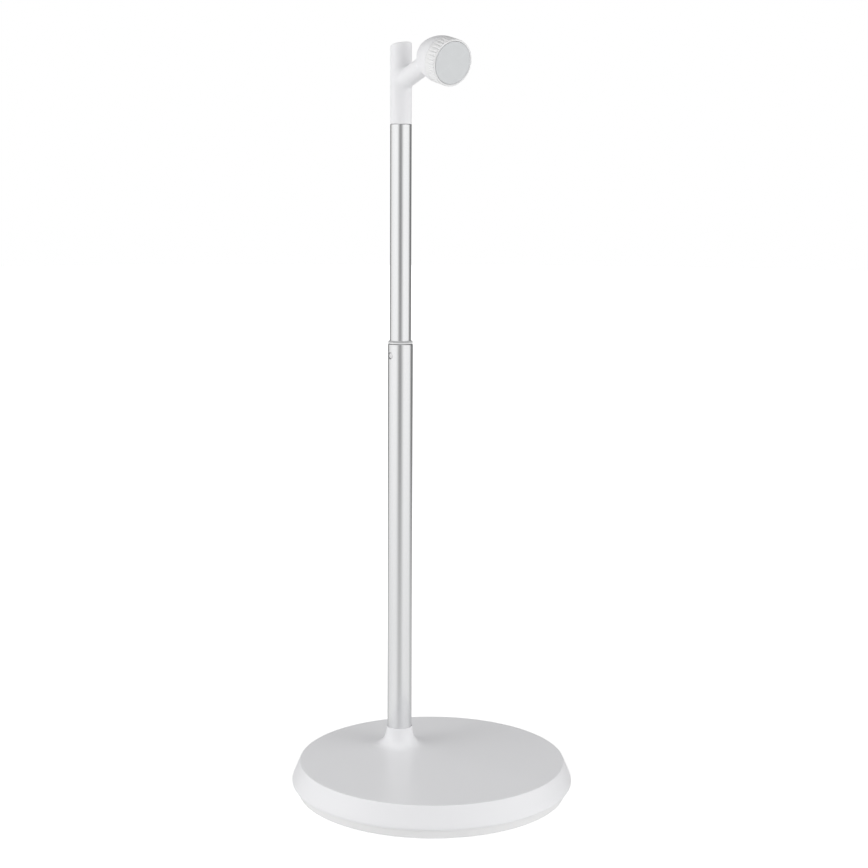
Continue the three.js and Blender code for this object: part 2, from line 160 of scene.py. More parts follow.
def finish_mesh(name, verts_mm, faces, sharp=32.0):
    mesh = bpy.data.meshes.new(name)
    mesh.from_pydata([tuple(float(c) * MM for c in v) for v in verts_mm], [], faces)
    bm = bmesh.new()
    bm.from_mesh(mesh)
    bmesh.ops.remove_doubles(bm, verts=bm.verts, dist=1e-7)
    bmesh.ops.recalc_face_normals(bm, faces=bm.faces)
    bm.to_mesh(mesh)
    bm.free()
    mesh.update()
    ob = link_object(name, mesh)
    shade(ob, sharp)
    return ob


def loft(rows, closed_loop):
    """Faces between rows of points. A row is (n, 3), or (3,) for a single point."""
    verts, index = [], []
    for row in rows:
        row = np.atleast_2d(np.asarray(row, float))
        index.append(list(range(len(verts), len(verts) + len(row))))
        verts.extend(row)
    pairs = list(zip(index[:-1], index[1:]))
    if closed_loop:
        pairs.append((index[-1], index[0]))
    faces = []
    for a, b in pairs:
        n = max(len(a), len(b))
        if n == 1:
            continue
        for i in range(n):
            j = (i + 1) % n
            corners = (a[i % len(a)], a[j % len(a)], b[j % len(b)], b[i % len(b)])
            face = list(dict.fromkeys(corners))
            if len(face) > 2:
                faces.append(face)
    return verts, faces


def ring(x, y, radius, z, seg):
    t = np.arange(seg) * 2 * np.pi / seg
    return np.stack([x + radius * np.cos(t), y + radius * np.sin(t), np.full(seg, z)], 1)


def to_head(p):
    """From the head's own frame (across, up, back from the face) to the scene."""
    p = np.asarray(p, float)
    return FACE + p[..., 0:1] * SIDE + p[..., 1:2] * ACROSS + p[..., 2:3] * BACK


def revolve(name, profile, seg=96, centre=(0.0, 0.0), place=None, sharp=32.0):
    """Turned piece. The profile closes on itself, or starts and ends on the axis."""
    rows = []
    for r, z in profile:
        row = ring(*centre, r, z, seg) if r > 1e-6 else np.array([*centre, z])
        rows.append(place(row) if place else row)
    on_axis = profile[0][0] <= 1e-6 and profile[-1][0] <= 1e-6
    verts, faces = loft(rows, not on_axis)
    return finish_mesh(name, verts, faces, sharp)


def boolean(ob, cutter, operation="DIFFERENCE"):
    """Applies the cutter to the piece and removes it."""
    ob.modifiers.clear()
    cutter.modifiers.clear()
    cut = ob.modifiers.new("cut", "BOOLEAN")
    cut.operation, cut.solver, cut.object = operation, "EXACT", cutter
    bpy.context.view_layer.update()
    depsgraph = bpy.context.evaluated_depsgraph_get()
    mesh = bpy.data.meshes.new_from_object(ob.evaluated_get(depsgraph))
    ob.modifiers.clear()
    ob.data = mesh
    bpy.data.objects.remove(cutter)
    return ob


def tidy(ob, sharp):
    """Merges what a boolean left, then shades."""
    bm = bmesh.new()
    bm.from_mesh(ob.data)
    bmesh.ops.remove_doubles(bm, verts=bm.verts, dist=2e-6)
    bmesh.ops.dissolve_degenerate(bm, edges=bm.edges, dist=1e-6)
    bmesh.ops.recalc_face_normals(bm, faces=bm.faces)
    bm.to_mesh(ob.data)
    bm.free()
    shade(ob, sharp)


def rod(name, start, end, radius, seg):
    """Plain cylinder between two points, used as a cutter."""
    start, end = np.array(start, float), np.array(end, float)
    axis = (end - start) / np.linalg.norm(end - start)
    a = np.cross(axis, [0, 0, 1.0])
    if np.linalg.norm(a) < 1e-6:
        a = np.array([1.0, 0, 0])
    a /= np.linalg.norm(a)
    b = np.cross(axis, a)
    t = np.arange(seg) * 2 * np.pi / seg
    circle = (np.cos(t)[:, None] * a + np.sin(t)[:, None] * b) * radius
    verts, faces = loft([start, start + circle, end + circle, end], False)
    return finish_mesh(name, verts, faces, 40)


def bar(name, centre, size, turn):
    """Plain box turned about Z, used as a cutter."""
    bm = bmesh.new()
    bmesh.ops.create_cube(bm, size=1.0)
    mesh = bpy.data.meshes.new(name)
    bm.transform(
        Matrix.Translation(Vector([c * MM for c in centre]))
        @ Matrix.Rotation(turn, 4, "Z")
        @ Matrix.Diagonal(Vector([s * MM for s in size] + [1.0]))
    )
    bm.to_mesh(mesh)
    bm.free()
    return link_object(name, mesh)


# ------------------------------------------------------------------ shader nodes
class Nodes:
    """Short calls that add nodes to a shader tree. An input takes a number, colour or socket."""

    def __init__(self, tree):
        self.tree = tree
        tree.nodes.clear()

    def feed(self, socket, value):
        if value is None:
            return
        if isinstance(value, bpy.types.NodeSocket):
            self.tree.links.new(value, socket)
        elif socket.type == "RGBA":
            socket.default_value = (*value, 1.0)
        else:
            socket.default_value = value

    def node(self, kind, inputs=None, **settings):
        made = self.tree.nodes.new("ShaderNode" + kind)
        for key, value in settings.items():
            setattr(made, key, value)
        for key, value in (inputs or {}).items():
            self.feed(made.inputs[key], value)
        return made

    def calc(self, operation, a, b=None):
        return self.node("Math", {0: a, 1: b}, operation=operation).outputs[0]

    def plus(self, a, b):
        return self.calc("ADD", a, b)

    def minus(self, a, b):
        return self.calc("SUBTRACT", a, b)

    def times(self, a, b):
        return self.calc("MULTIPLY", a, b)

    def remap(self, value, span, to, smooth=False):
        """Maps the span onto the range to, and holds it beyond the ends."""
        inputs = {0: value, 1: span[0], 2: span[1], 3: to[0], 4: to[1]}
        kind = "SMOOTHSTEP" if smooth else "LINEAR"
        return self.node("MapRange", inputs, interpolation_type=kind).outputs[0]


class Material(Nodes):
    """A Principled material."""

    def __init__(self, name):
        self.material = bpy.data.materials.new(name)
        self.material.use_nodes = True
        super().__init__(self.material.node_tree)
        self.out = self.node("OutputMaterial")
        self.shader = self.node("BsdfPrincipled")
        self.feed(self.out.inputs["Surface"], self.shader.outputs[0])
        self.here = self.node("TexCoord").outputs["Object"]

    def coords(self, scale, turn=(0, 0, 0)):
        inputs = {"Scale": scale, "Rotation": turn, "Vector": self.here}
        return self.node("Mapping", inputs).outputs[0]

    def noise(self, scale, detail=3.0, rough=0.5, at=None):
        at = self.here if at is None else at
        inputs = {"Scale": scale, "Detail": detail, "Roughness": rough, "Vector": at}
        return self.node("TexNoise", inputs).outputs["Fac"]

    def cells(self, scale):
        inputs = {"Scale": scale, "Vector": self.here}
        return self.node("TexVoronoi", inputs).outputs["Distance"]

    def mix(self, factor, a, b):
        """Colour mix; the indices are the node's colour sockets."""
        return self.node("Mix", {0: factor, 6: a, 7: b}, data_type="RGBA").outputs[2]

    def bump(self, height, strength, distance, normal=None):
        inputs = {"Strength": strength, "Distance": distance, "Height": height, "Normal": normal}
        return self.node("Bump", inputs).outputs[0]

    def edges(self, span):
        """Rises from 0 to 1 on convex edges."""
        pointiness = self.node("NewGeometry").outputs["Pointiness"]
        return self.remap(pointiness, span=span, to=(0.0, 1.0))

    def set(self, **inputs):
        for name, value in inputs.items():
            self.feed(self.shader.inputs[name.replace("_", " ")], value)


def scaled(color, factor):
    return tuple(min(1.0, c * factor) for c in color)


# ------------------------------------------------------------------ materials
def plastic(name, color, rough, grain, depth, variation, specular, crevice=0.0, tint=None):
    """Moulded plastic: fine grain (depth in mm), slow tone changes, smoother edges, faint scuffs.

    crevice is how much painted shade darkens inner corners and grooves, and tint is a second tone
    in patches.
    """
    m = Material(name)
    slow = m.noise(scale=9.0, rough=0.55)
    patches = m.noise(scale=70.0, detail=4.0, rough=0.6)
    tone = m.mix(slow, scaled(color, 1 - variation), scaled(color, 1 + variation * 0.6))
    if tint:
        tone = m.mix(m.remap(patches, span=(0.35, 0.75), to=(0.0, 0.35)), tone, tint)
    edge = m.edges(span=(0.505, 0.56))
    tone = m.mix(m.times(edge, 0.35), tone, scaled(color, factor=1.05))
    # painted shade: ambient occlusion darkens the colour in inner corners, grooves and gaps
    if crevice:
        open_sky = m.node("AmbientOcclusion", {"Distance": 0.0022}, samples=6).outputs["AO"]
        painted_crevice_shade = m.remap(open_sky, span=(0.25, 0.95), to=(crevice, 0.0))
        tone = m.mix(painted_crevice_shade, tone, scaled(color, factor=0.45))
    fine = m.noise(scale=grain, detail=2.0, rough=0.65)
    height = m.plus(m.times(fine, 0.7), m.times(m.cells(scale=grain * 0.55), 0.5))
    normal = m.bump(height, strength=0.55, distance=depth * MM)
    waves = m.noise(scale=120.0, detail=1.0)
    normal = m.bump(waves, strength=0.3, distance=0.02 * MM, normal=normal)
    streaks = m.coords(scale=(1, 0.12, 1), turn=(0.3, 0.5, 0.8))
    scuff = m.noise(scale=420.0, detail=2.0, rough=0.4, at=streaks)
    scuff = m.remap(scuff, span=(0.62, 0.75), to=(0.0, 0.08))
    gloss = m.remap(patches, span=(0.25, 0.75), to=(rough - 0.045, rough + 0.05))
    gloss = m.minus(m.plus(gloss, scuff), m.times(edge, 0.08))
    m.set(Base_Color=tone, Roughness=gloss, Specular_IOR_Level=specular, Normal=normal)
    return m


def satin_tube(name, color, rough):
    """Drawn and anodised tube: lengthwise lines, etch speckle and soft cloudiness."""
    m = Material(name)
    lines = m.noise(scale=1.0, detail=5.0, rough=0.65, at=m.coords(scale=(5200, 5200, 26)))
    hairs = m.noise(scale=1.0, detail=2.0, at=m.coords(scale=(11000, 11000, 160)))
    speckle = m.noise(scale=1500.0, detail=2.0, rough=0.6)
    cloud = m.noise(scale=28.0, rough=0.55, at=m.coords(scale=(1, 1, 0.35)))
    tone = m.remap(speckle, span=(0.3, 0.7), to=(0.0, 1.0))
    tone = m.mix(tone, scaled(color, factor=0.95), scaled(color, factor=1.03))
    darker = m.remap(lines, span=(0.35, 0.65), to=(0.0, 0.5))
    tone = m.mix(darker, tone, scaled(color, factor=0.965))
    paler = m.remap(cloud, span=(0.3, 0.7), to=(0.0, 0.5))
    tone = m.mix(paler, tone, scaled(color, factor=1.02))
    worn = m.times(m.edges(span=(0.52, 0.6)), 0.6)
    tone = m.mix(worn, tone, scaled(color, factor=1.12))
    height = m.plus(m.times(hairs, 0.35), m.times(speckle, 0.55))
    height = m.plus(m.times(lines, 0.8), height)
    gloss = m.plus(
        m.remap(cloud, span=(0.25, 0.75), to=(rough - 0.025, rough + 0.03)),
        m.remap(lines, span=(0.3, 0.7), to=(-0.02, 0.02)),
    )
    m.set(
        Base_Color=tone,
        Metallic=1.0,
        Roughness=gloss,
        Normal=m.bump(height, strength=0.35, distance=0.0032 * MM),
        Anisotropic=0.25,
        Tangent=m.node("Tangent", direction_type="RADIAL", axis="Z").outputs[0],
    )
    return m


def metal(name, color, rough, cast=False, metallic=1.0, grain=1800.0, wear=0.5):
    """Hardware metal: fine grain, blotchy tone and bright worn edges, or a rough cast skin."""
    m = Material(name)
    blotches = m.noise(scale=260.0, detail=4.0, rough=0.6)
    fine = m.noise(scale=grain, rough=0.6)
    tone = m.remap(blotches, span=(0.3, 0.7), to=(0.0, 1.0))
    tone = m.mix(tone, scaled(color, factor=0.86), scaled(color, factor=1.08))
    edge = m.edges(span=(0.51, 0.58))
    tone = m.mix(m.times(edge, wear), tone, scaled(color, factor=1.35))
    height, depth = fine, 0.006
    if cast:
        lumps = m.times(m.noise(scale=650.0, detail=5.0, rough=0.7), 1.0)
        height, depth = m.plus(lumps, m.times(m.cells(scale=500.0), 0.6)), 0.08
    normal = m.bump(height, strength=0.5, distance=depth * MM)
    gloss = m.remap(fine, span=(0.3, 0.7), to=(rough - 0.06, rough + 0.08))
    m.set(Base_Color=tone, Metallic=metallic, Roughness=gloss, Normal=normal)
    return m


def rubber(name, color, dust_color):
    m = Material(name)
    fine = m.noise(scale=1500.0, detail=4.0, rough=0.7)
    dust = m.noise(scale=90.0, detail=4.0, rough=0.6)
    dust = m.remap(dust, span=(0.5, 0.8), to=(0.0, 0.4))
    m.set(
        Base_Color=m.mix(dust, color, dust_color),
        Roughness=m.remap(fine, span=(0.3, 0.7), to=(0.75, 0.95)),
        Normal=m.bump(fine, strength=0.6, distance=0.03 * MM),
    )
    return m


def colour_band(m, low, high, color, soft=0.04):
    """Recolours a material between two heights (mm), with soft ends."""
    separate = m.node("SeparateXYZ", {0: m.here})
    z = separate.outputs["Z"]
    above = m.remap(z, span=((low - soft) * MM, (low + soft) * MM), to=(0.0, 1.0))
    below = m.remap(z, span=((high - soft) * MM, (high + soft) * MM), to=(1.0, 0.0))
    tone = m.shader.inputs["Base Color"].links[0].from_socket
    m.set(Base_Color=m.mix(m.times(above, below), tone, color))


# keyed by slot, except for grip_white (worn in the slot cap_white) and ballast_iron
FINISH = {
    "white_shell": plastic(
        "white_shell_moulded", color=(0.826, 0.827, 0.842), rough=0.34, grain=2400,
        depth=0.010, variation=0.012, specular=0.5, crevice=0.08),
    "tray_white": plastic(
        "tray_white_moulded", color=(0.815, 0.815, 0.817), rough=0.5, grain=1900,
        depth=0.014, variation=0.02, specular=0.4, crevice=0.1, tint=(0.80, 0.80, 0.80)),
    "cap_white": plastic(
        "cap_white_moulded", color=(0.838, 0.838, 0.852), rough=0.42, grain=2600,
        depth=0.009, variation=0.012, specular=0.45, crevice=0.15),
    "grip_white": plastic(
        "grip_white_moulded", color=(0.815, 0.815, 0.817), rough=0.58, grain=2600,
        depth=0.009, variation=0.012, specular=0.22, crevice=0.06),
    "face_grey": plastic(
        "face_grey_matt", color=(0.662, 0.676, 0.684), rough=0.62, grain=3200,
        depth=0.012, variation=0.015, specular=0.3, tint=(0.665, 0.676, 0.687)),
    "ring_light": plastic(
        "end_ring_light", color=(0.80, 0.805, 0.81), rough=0.3, grain=3000,
        depth=0.006, variation=0.01, specular=0.5, crevice=0.3),
    "guide_plastic": plastic(
        "guide_dark_moulded", color=(0.045, 0.046, 0.05), rough=0.5, grain=1800,
        depth=0.02, variation=0.2, specular=0.4),
    "satin_tube": satin_tube("satin_anodised_tube", color=(0.86, 0.865, 0.872), rough=0.21),
    "button_bright": metal(
        "button_satin_plated", color=(0.80, 0.80, 0.805), rough=0.42,
        metallic=0.35, grain=900.0, wear=0.2),
    "ballast_iron": metal(
        "ballast_black_iron", color=(0.06, 0.06, 0.065), rough=0.7, cast=True, metallic=0.6),
    "hardware_steel": metal("zinc_plated_steel", color=(0.62, 0.63, 0.64), rough=0.32),
    "spring_steel": metal(
        "bright_spring_strip", color=(0.50, 0.51, 0.53), rough=0.25, grain=2500.0),
    "magnet_nickel": metal(
        "nickel_plated_magnet", color=(0.70, 0.69, 0.68), rough=0.18, grain=1200.0),
    "foot_rubber": rubber(
        "foot_black_rubber", color=(0.02, 0.02, 0.021), dust_color=(0.22, 0.22, 0.21)),
}

# the end ring is pale on its lip only: painted shade greys its sloped shoulder and darkens its
# neck in the gap above the tube
colour_band(FINISH["ring_light"], low=342.78, high=345.0, color=(0.50, 0.505, 0.51))
colour_band(FINISH["ring_light"], low=330.0, high=341.86, color=(0.22, 0.22, 0.225))
# painted shadow: a dark line on the cap's foot where it meets the tube
colour_band(FINISH["cap_white"], low=505.0, high=505.98, color=(0.26, 0.26, 0.27))


def put(ob, slot, body, node, finish=None):
    """Gives a piece the material of its slot, or of the finish named, hangs it on the body it
    rides on and hides the CAD node it stands in for.
    """
    ob.data.materials.clear()
    ob.data.materials.append(FINISH[finish or slot].material)
    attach(ob, body)
    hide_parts(node)


# ------------------------------------------------------------------ base cover
COVER_SEG = 256
COVER_TOP = 24.9
COVER_UNDER = 22.3  # underside of the flat top
FLARE_R, FLAT_R, UNDER_R = 22.8, 99.4, 98.0  # collar's foot, flat top and its underside

# about the pole: bore and rounded lip of the collar
COLLAR_BORE = [
    (LOWER_OUT + 0.05, SEAT_Z), (LOWER_OUT + 0.05, 28.0), (LOWER_OUT + 0.05, 39.45),
    (9.60, 39.62), (9.72, 39.70), (9.84, 39.66), (9.92, 39.5),
]
# about the pole: outside of the collar, down to the flat top
COLLAR_FLARE = [
    (9.94, 39.2), (9.99, 38.0), (10.2, 36.2), (10.55, 34.3), (11.1, 32.3), (11.95, 30.3),
    (13.1, 28.5), (14.6, 26.95), (16.5, 25.8), (18.7, 25.15), (20.9, 24.93), (FLARE_R, 24.9),
]
# about the base: bulged rim, before its heights are stretched
RIM = [
    (105.9, 13.75), (106.45, 12.55), (106.95, 11.2), (107.2, 10.2), (107.24, 9.5),
    (107.05, 8.85), (106.6, 8.35), (105.95, 7.9), (105.3, 7.68),
]
RIM_R = 107.24
RIM_LOW, RIM_LOW_MOVED, RIM_STRETCH = 7.8, 7.85, 1.0333
# about the base: from the rim's lower edge up the inside
COVER_INSIDE = [
    (104.95, 7.72), (104.7, 7.78), (102.9, 7.9), (102.7, 8.1), (102.7, 12.5), (98.6, 21.8),
    (UNDER_R, COVER_UNDER),
]
# about the pole: outside of the sleeve under the collar
SLEEVE = [(14.2, 22.1), (14.0, 21.6), (14.0, 16.4), (13.7, SEAT_Z)]
COVER_POST = [
    (0, 23.2), (4.6, 23.2), (4.6, 16.3), (4.4, 16.1), (1.7, 16.1), (1.7, 21.6), (0, 21.6),
]


def base_cover():
    """One skin: the flat top runs up into the collar round the pole."""
    rows = []

    def about(y, profile):
        rows.extend(ring(0, y, r, z, COVER_SEG) for r, z in profile)

    about(POLE_Y, COLLAR_BORE)
    about(POLE_Y, [(r, max(z, COVER_TOP)) for r, z in smooth_curve(COLLAR_FLARE, per=4)])
    # circles whose centre slides from the pole to the middle of the base
    for i in range(1, 15):
        s = i / 14
        about(POLE_Y * (1 - s), [(FLARE_R + (FLAT_R - FLARE_R) * s, COVER_TOP)])
    edge = [(FLAT_R, COVER_TOP, 0), (101.2, COVER_TOP, 1.0), (106.15, 13.5, 0)]
    about(0, rounded(edge, steps=7)[1:-1])
    for r, z in smooth_curve(RIM, per=4):
        about(0, [(min(r, RIM_R), RIM_LOW_MOVED + (z - RIM_LOW) * RIM_STRETCH)])
    about(0, COVER_INSIDE)
    # and back to the pole on the underside
    for i in range(1, 9):
        s = i / 8
        about(POLE_Y * s, [(UNDER_R + (15.0 - UNDER_R) * s, COVER_UNDER)])
    about(POLE_Y, SLEEVE)
    verts, faces = loft(rows, True)
    ob = finish_mesh("base_cover_skin", verts, faces, 40)
    for centre in BASE_SCREWS:
        ob = boolean(ob, revolve("post", COVER_POST, 40, centre), "UNION")
    tidy(ob, 40)
    put(ob, "white_shell", "base", "base_cover")
    return ob


# ------------------------------------------------------------------ tray and foot
# radius, height, corner radius
TRAY = [
    (0, 0.6, 0), (FOOT_IN - FOOT_GAP, 0.6, 0.15), (FOOT_IN - FOOT_GAP, 1.7, 0.1),
    (FOOT_OUT + FOOT_GAP, 1.7, 0.1), (FOOT_OUT + FOOT_GAP, 0.6, 0.15), (102.05, 0.6, 0.55),
    (103.0, 2.6, 0), (104.9, 7.25, 0.12), (104.85, 7.68, 0.08), (102.3, 7.68, 0.1),
    (102.3, 11.2, 0.25), (100.6, 11.2, 0.25), (100.6, 4.0, 0.3), (99.8, 3.2, 0.3), (0, 3.2, 0),
]
TRAY_POST = [
    (0, 2.2), (6.4, 2.2), (6.4, 3.2), (5.8, 3.6), (5.6, 4.2), (5.6, 7.7), (5.4, 7.9), (0, 7.9),
]
TRAY_HOLE = [
    (0, -1), (4.1, -1), (4.1, 0.6), (3.8, 0.9), (3.8, 4.2), (1.95, 4.2), (1.95, 12), (0, 12),
]
FOOT = [(FOOT_IN, 0, 0.35), (FOOT_OUT, 0, 0.35), (FOOT_OUT, 1.6, 0.1), (FOOT_IN, 1.6, 0.1)]


def base_tray():
    """Tray under the cover, with four counterbored posts and a groove for the foot ring."""
    ob = revolve("base_tray_skin", rounded(TRAY, steps=4), 256, sharp=35)
    for centre in BASE_SCREWS:
        ob = boolean(ob, revolve("post", TRAY_POST, 48, centre), "UNION")
        ob = boolean(ob, revolve("hole", TRAY_HOLE, 48, centre))
    tidy(ob, 35)
    put(ob, "tray_white", "base", "base_plate")
    return ob


def foot_ring():
    ob = revolve("foot_ring_rubber", rounded(FOOT, steps=4), 192)
    put(ob, "foot_rubber", "base", "foot_ring")


BASE_SCREW = [
    (0, 1.7), (1.4, 1.72), (2.4, 1.9), (3.05, 2.25), (3.35, 2.8), (3.4, 3.4), (3.4, 4.0),
    (3.3, 4.1), (1.75, 4.1), (1.6, 4.3),
    *thread(start=4.8, end=18.6, pitch=1.3, root=1.22, crest=1.6, rises=(0, 0.35, 0.62, 0.7)),
    (1.2, 19.3), (0.4, 20.5), (0, 20.6),
]
SCREW_SLOT = (4.0, 0.75, 1.8)
SCREW_SLOT_Z = 1.9


def base_screws():
    """Four screws whose cross-slotted heads look down."""
    for i, (x, y) in enumerate(BASE_SCREWS):
        ob = revolve("base_screw_%d_turned" % (i + 1), BASE_SCREW, 32, (x, y), sharp=28)
        for turn in (0.0, math.pi / 2):
            slot = bar("slot", (x, y, SCREW_SLOT_Z), SCREW_SLOT, turn + 0.3 * i)
            ob = boolean(ob, slot)
        tidy(ob, 28)
        put(ob, "hardware_steel", "base", "base_screw_%d" % (i + 1))


# ------------------------------------------------------------------ pole
# heights of extra rows, closer where the button's hole is cut, to keep the shading clean
HOLE_ROWS = [
    BUTTON_Z + d for d in (-12, -6, -4, -3.2, -2.4, -1.6, -0.8, 0, 0.8, 1.6, 2.4, 3.2, 4, 6)
]


def tube(name, r_in, r_out, low, high, bevel, extra_rows, body, node):
    """Drawn tube with broken edges and the button's hole on its -X side."""
    heights = [low + 0.6, *extra_rows, high - 0.6]
    outer = [
        (r_in + bevel, low), (r_out - bevel, low), (r_out, low + bevel),
        *[(r_out, z) for z in heights],
        (r_out, high - bevel), (r_out - bevel * 0.35, high - bevel * 0.35),
        (r_out - bevel, high),
    ]
    inner = [
        (r_in + bevel, high), (r_in, high - bevel),
        *[(r_in, z) for z in reversed(heights)],
        (r_in, low + bevel),
    ]
    ob = revolve(name, outer + inner, 160, POLE, sharp=50)
    drill = rod("cut", (-14, POLE_Y, BUTTON_Z), (-3, POLE_Y, BUTTON_Z), BUTTON_HOLE_R, 64)
    ob = boolean(ob, drill)
    tidy(ob, 35)
    put(ob, "satin_tube", body, node)


def tubes():
    tube("lower_tube_drawn", LOWER_IN, LOWER_OUT, SEAT_Z, LOWER_TOP, bevel=0.42,
         extra_rows=[60, 120, 180, 240, 300] + HOLE_ROWS, body="base", node="lower_tube")
    tube("upper_tube_drawn", UPPER_IN, UPPER_OUT, 286.0, UPPER_TOP, bevel=0.22,
         extra_rows=[300] + HOLE_ROWS + [380, 430, 480], body="upper_pole", node="upper_tube")


# radius, height, corner radius: neck inside the tube, grooved collar, lip, sloped shoulder
END_RING = [
    (8.12, 337.2, 0.05), (8.44, 337.2, 0.1), (8.44, 341.35, 0.05), (8.9, 341.35, 0.05),
    (8.9, 341.88, 0.05), (9.48, 341.88, 0.12), (9.48, 342.82, 0.2), (9.2, 343.0, 0.12),
    (8.3, 344.1, 0.08), (8.12, 344.1, 0.05),
]
GUIDE_BUSH = [
    (5.6, 281, 0.2), (8.0, 281, 0.2), (8.38, 281.6, 0.2), (8.38, 285.9, 0.15),
    (INSERT_R, 285.9, 0.1), (INSERT_R, 295, 0.3), (5.6, 295, 0.2),
]


def end_ring():
    ob = revolve("tube_end_ring_turned", rounded(END_RING, steps=4), 160, POLE, sharp=40)
    put(ob, "ring_light", "base", "tube_end_ring")


def guide_bush():
    ob = revolve("guide_bush_moulded", rounded(GUIDE_BUSH, steps=3), 96, POLE)
    put(ob, "guide_plastic", "upper_pole", "guide_bush")


# ------------------------------------------------------------------ snap button and its spring
BUTTON_R = 2.2
BUTTON_TIP = 9.4  # from the pole's axis
DOME_RISE = 0.45
BUTTON_BACK = 5.35  # back of the button's flange
# radius, distance from the pole's axis
BUTTON_BODY = [
    (2.18, 8.86), (BUTTON_R, 8.75), (BUTTON_R, 6.1), (2.26, 6.05), (2.9, 6.05), (3.0, 5.95),
    (3.0, 5.45), (2.9, BUTTON_BACK), (1.1, BUTTON_BACK), (1.1, 4.45), (0.95, 4.3), (0, 4.3),
]


def along_minus_x(row):
    """Turns a piece made about +Z at the origin to point along -X at the button."""
    row = np.asarray(row, float)
    return np.stack([-row[..., 2], POLE_Y + row[..., 0], BUTTON_Z + row[..., 1]], -1)


def snap_button():
    sphere = (BUTTON_R * BUTTON_R + DOME_RISE * DOME_RISE) / (2 * DOME_RISE)
    dome = []
    for i in range(13):
        r = (BUTTON_R - 0.12) * i / 12
        dome.append((r, BUTTON_TIP - sphere + math.sqrt(sphere * sphere - r * r)))
    ob = revolve("snap_button_domed", dome + BUTTON_BODY, 64, place=along_minus_x, sharp=40)
    put(ob, "button_bright", "button", "snap_button")
    # the tube's wall keeps the button in while the pole is down
    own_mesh(ob)


SPRING_HALF_WIDTH, SPRING_THICK, SPRING_EDGE = 2.4, 0.45, 0.1
SPRING_LEFT, SPRING_RIGHT = -5.25, 6.35  # outer faces of the legs, along X
SPRING_TOP, SPRING_BEND = BUTTON_Z + 7, BUTTON_Z - 24
SPRING_END_WIDTH, SPRING_END_THICK = 0.964, 0.88  # share kept at the strip's ends


def leaf_spring():
    """Strip bent to a narrow U. One leg is behind the button, the other on the far wall."""
    half = SPRING_THICK / 2
    bend_r = (SPRING_RIGHT - SPRING_LEFT) / 2 - half
    bend_x = (SPRING_RIGHT + SPRING_LEFT) / 2
    left_leg = np.linspace(SPRING_TOP, SPRING_BEND, 24)[:-1]
    right_leg = np.linspace(SPRING_BEND, SPRING_TOP, 16)[1:]
    # middle line: x, z and the outward direction (x, z)
    middle = [(SPRING_LEFT + half, z, -1.0, 0.0) for z in left_leg]
    for a in np.linspace(math.pi, 2 * math.pi, 33):
        c, s = math.cos(a), math.sin(a)
        middle.append((bend_x + bend_r * c, SPRING_BEND + bend_r * s, c, s))
    middle += [(SPRING_RIGHT - half, z, 1.0, 0.0) for z in right_leg]
    # cross-section: across the strip, through its thickness
    wide, flat = SPRING_HALF_WIDTH - SPRING_EDGE, half - SPRING_EDGE
    section = [
        (-wide, -half), (wide, -half), (SPRING_HALF_WIDTH, -flat), (SPRING_HALF_WIDTH, flat),
        (wide, half), (-wide, half), (-SPRING_HALF_WIDTH, flat), (-SPRING_HALF_WIDTH, -flat),
    ]
    rows = []
    for i, (x, z, out_x, out_z) in enumerate(middle):
        at_end = i in (0, len(middle) - 1)
        width, thick = (SPRING_END_WIDTH, SPRING_END_THICK) if at_end else (1.0, 1.0)
        rows.append(np.array([
            (x + out_x * n * thick, POLE_Y + y * width, z + out_z * n * thick)
            for y, n in section
        ]))
    first, last = [np.array([m[0], POLE_Y, m[1]]) for m in (middle[0], middle[-1])]
    verts, faces = loft([first, *rows, last], False)
    ob = finish_mesh("snap_spring_bent", verts, faces, 40)
    drill = rod("cut", (-8, POLE_Y, BUTTON_Z), (-3, POLE_Y, BUTTON_Z), 1.3, 40)
    ob = boolean(ob, drill)
    tidy(ob, 40)
    put(ob, "spring_steel", "upper_pole", "snap_spring")
    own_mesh(ob)


# ------------------------------------------------------------------ branched cap
# It is a distance field, meshed, then moved onto the exact surface.
FIELD_STEP = 0.1
FIELD_R_MAX, FIELD_DEPTHS = 24, (-6, 42)  # reach of the tabulated profiles

# radius, depth behind the face: back of the bowl
BOWL_CURVE = [
    (17.02, 11.2), (16.98, 13.0), (16.8, 15.0), (16.5, 16.9), (16.05, 18.8), (15.45, 20.9),
    (14.65, 23.0), (13.65, 25.4), (12.35, 27.8), (10.65, 30.2), (8.4, 32.5), (5.8, 34.1),
    (2.9, 34.95), (0.0, 35.15),
]
BOWL = [
    (0, 3.2), (14.2, 3.2), (14.35, 3.4), (14.35, 5.6), (14.85, 6.0), (14.85, 6.9),
    (14.35, 7.4), (14.35, 10.8), (16.92, 10.8), (17.01, 10.88),
    *smooth_curve(BOWL_CURVE, per=4),
]
CAVITY = [(0, 0), (12.35, 0), (12.35, 17.0), (9.0, 25.5), (7.5, 26.5), (0, 26.5)]
POST_R, POST_DEPTHS = 3.6, (13.4, 28.0)  # post inside the bowl
POST_HOLE_R, POST_HOLE_DEPTHS = 1.65, (12.0, 25.0)

STUB_FOOT, STUB_TOP = 505.78, 564.2  # the stub over the tube; its top at the pole's axis
STUB_TOP_TILT = rad(12.5)
SPIGOT_FOOT, SPIGOT_TOP = 481.75, 507.0
ARM_R, ARM_LENGTH, ARM_START_Z, ARM_RISE = 7.0, 43.0, 536.3, rad(22.3)

CAP_CELL = 0.42
CAP_LOW = np.array([-19.5, -26.5, 480.5])
CAP_HIGH = np.array([19.5, 53.5, 569.5])


def smin(a, b, k):
    h = np.clip(0.5 + 0.5 * (b - a) / k, 0, 1)
    return b * (1 - h) + a * h - k * h * (1 - h)


def smax(a, b, k):
    return -smin(-a, -b, k)


